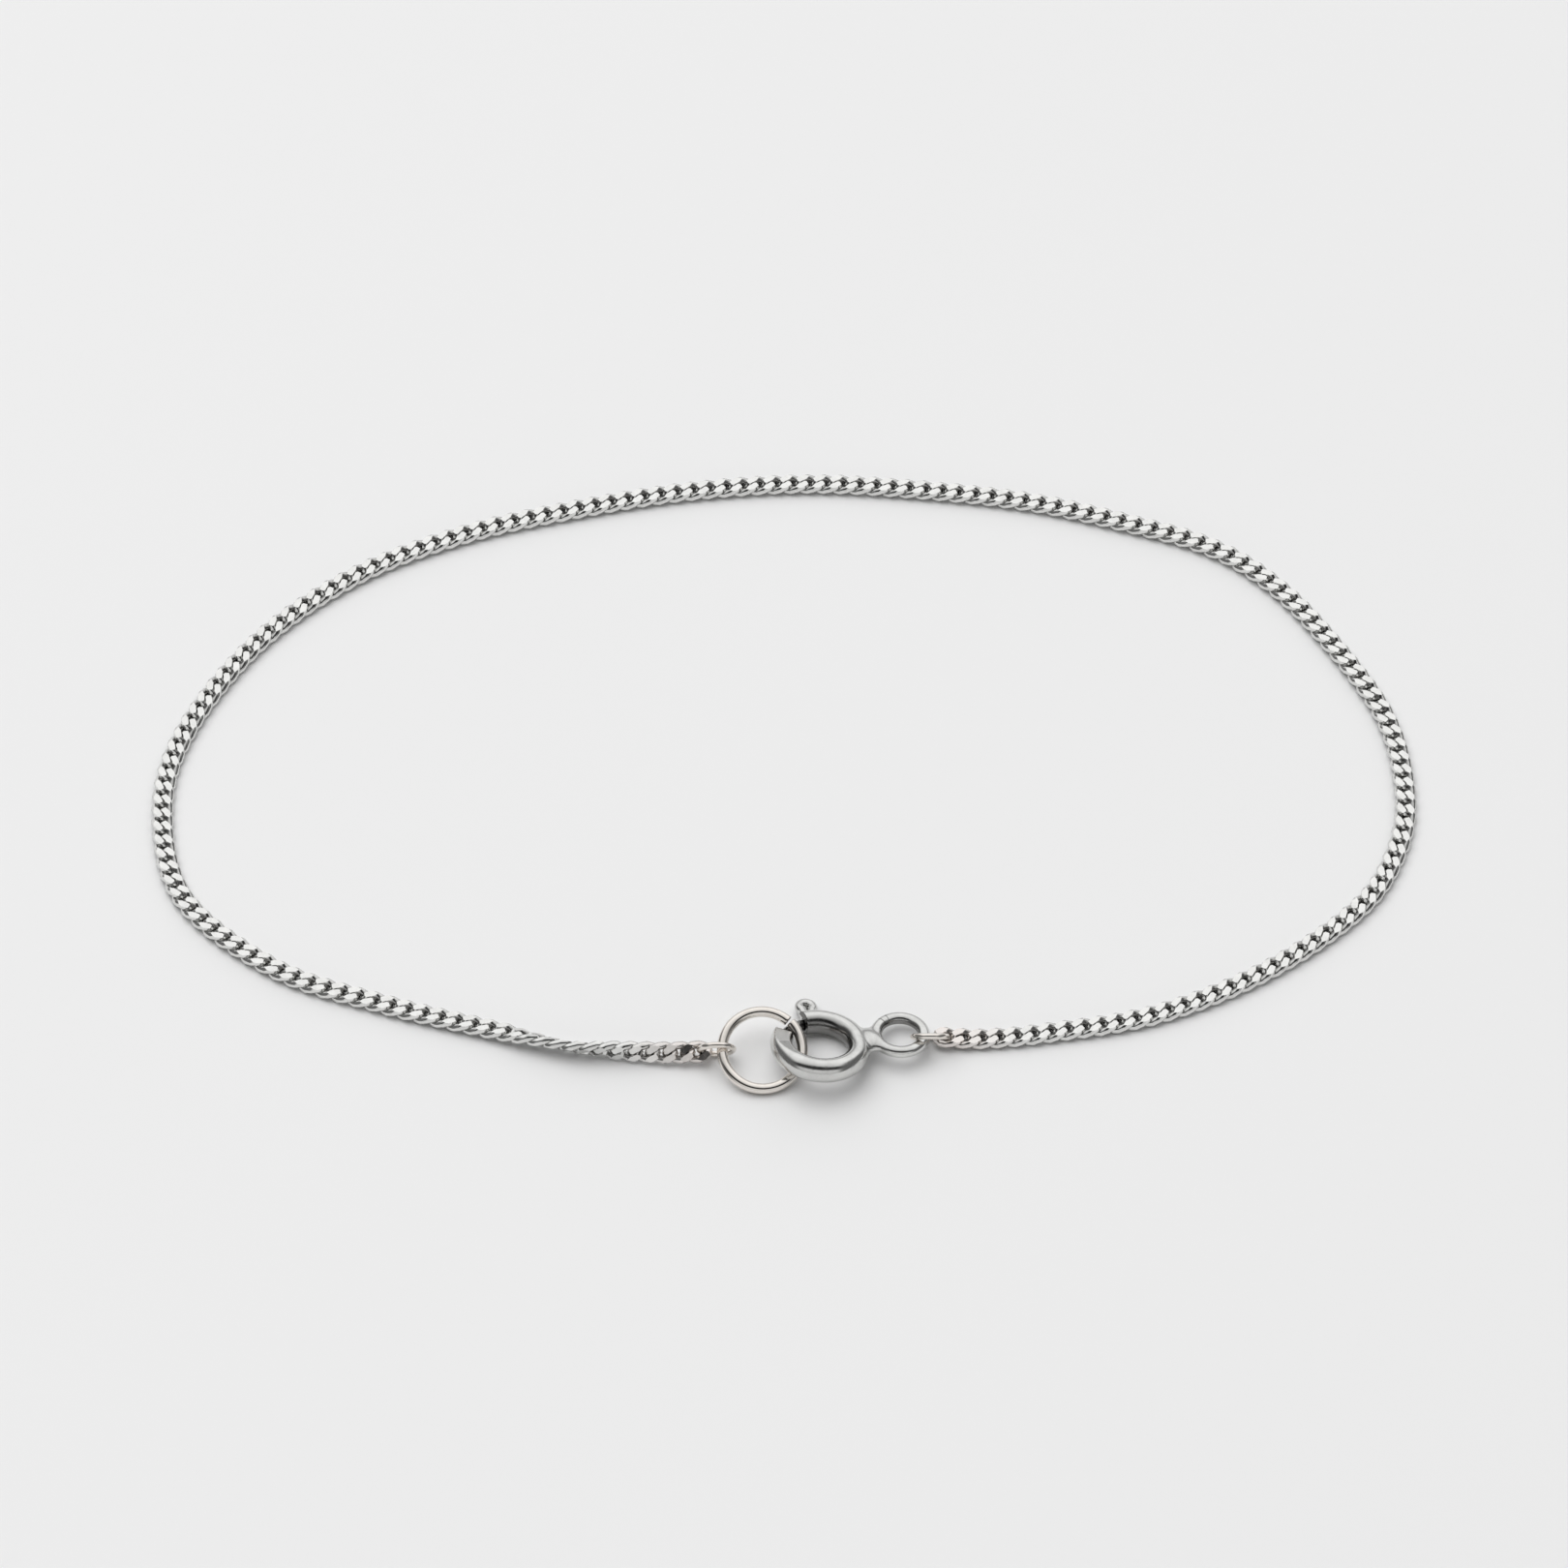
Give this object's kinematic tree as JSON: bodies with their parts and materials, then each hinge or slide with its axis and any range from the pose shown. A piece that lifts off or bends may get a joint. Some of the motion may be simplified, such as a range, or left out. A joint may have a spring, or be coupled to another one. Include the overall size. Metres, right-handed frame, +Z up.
{
  "type": "curb link bracelet",
  "caption": "Fine flat curb link bracelet in white metal, closed by a spring ring on a large round jump ring, lying as an open loop.",
  "frame": {"origin": "centre of the loop's box, on the surface it lies on", "axes": "+X along the long side of the loop, +Z up, clasp at -Y"},
  "size_m": [0.074, 0.0465, 0.0027],
  "materials": {
    "chain_silver": "polished links with ground flat faces, rhodium bright",
    "clasp_silver": "tumbled silver, softly bright, with fine wear",
    "ring_white_metal": "polished drawn wire, slightly warm"
  },
  "bodies": {
    "bracelet": {"chain": "chain_silver", "connector_left": "ring_white_metal", "jump_ring": "ring_white_metal", "clasp_ring": "clasp_silver", "connector_right": "ring_white_metal"},
    "bolt": {"clasp_bolt": "clasp_silver"}
  },
  "joints": [
    {"name": "bolt_slide", "type": "hinge", "parent": "bracelet", "child": "bolt", "pos_m": [0.00206, -0.0204, 0.00134], "axis": [-0.1012, -0.2504, -0.9628], "range_deg": [0, 45], "stiffness_Nm_per_rad": 0.002, "springref_deg": -22.92}
  ]
}
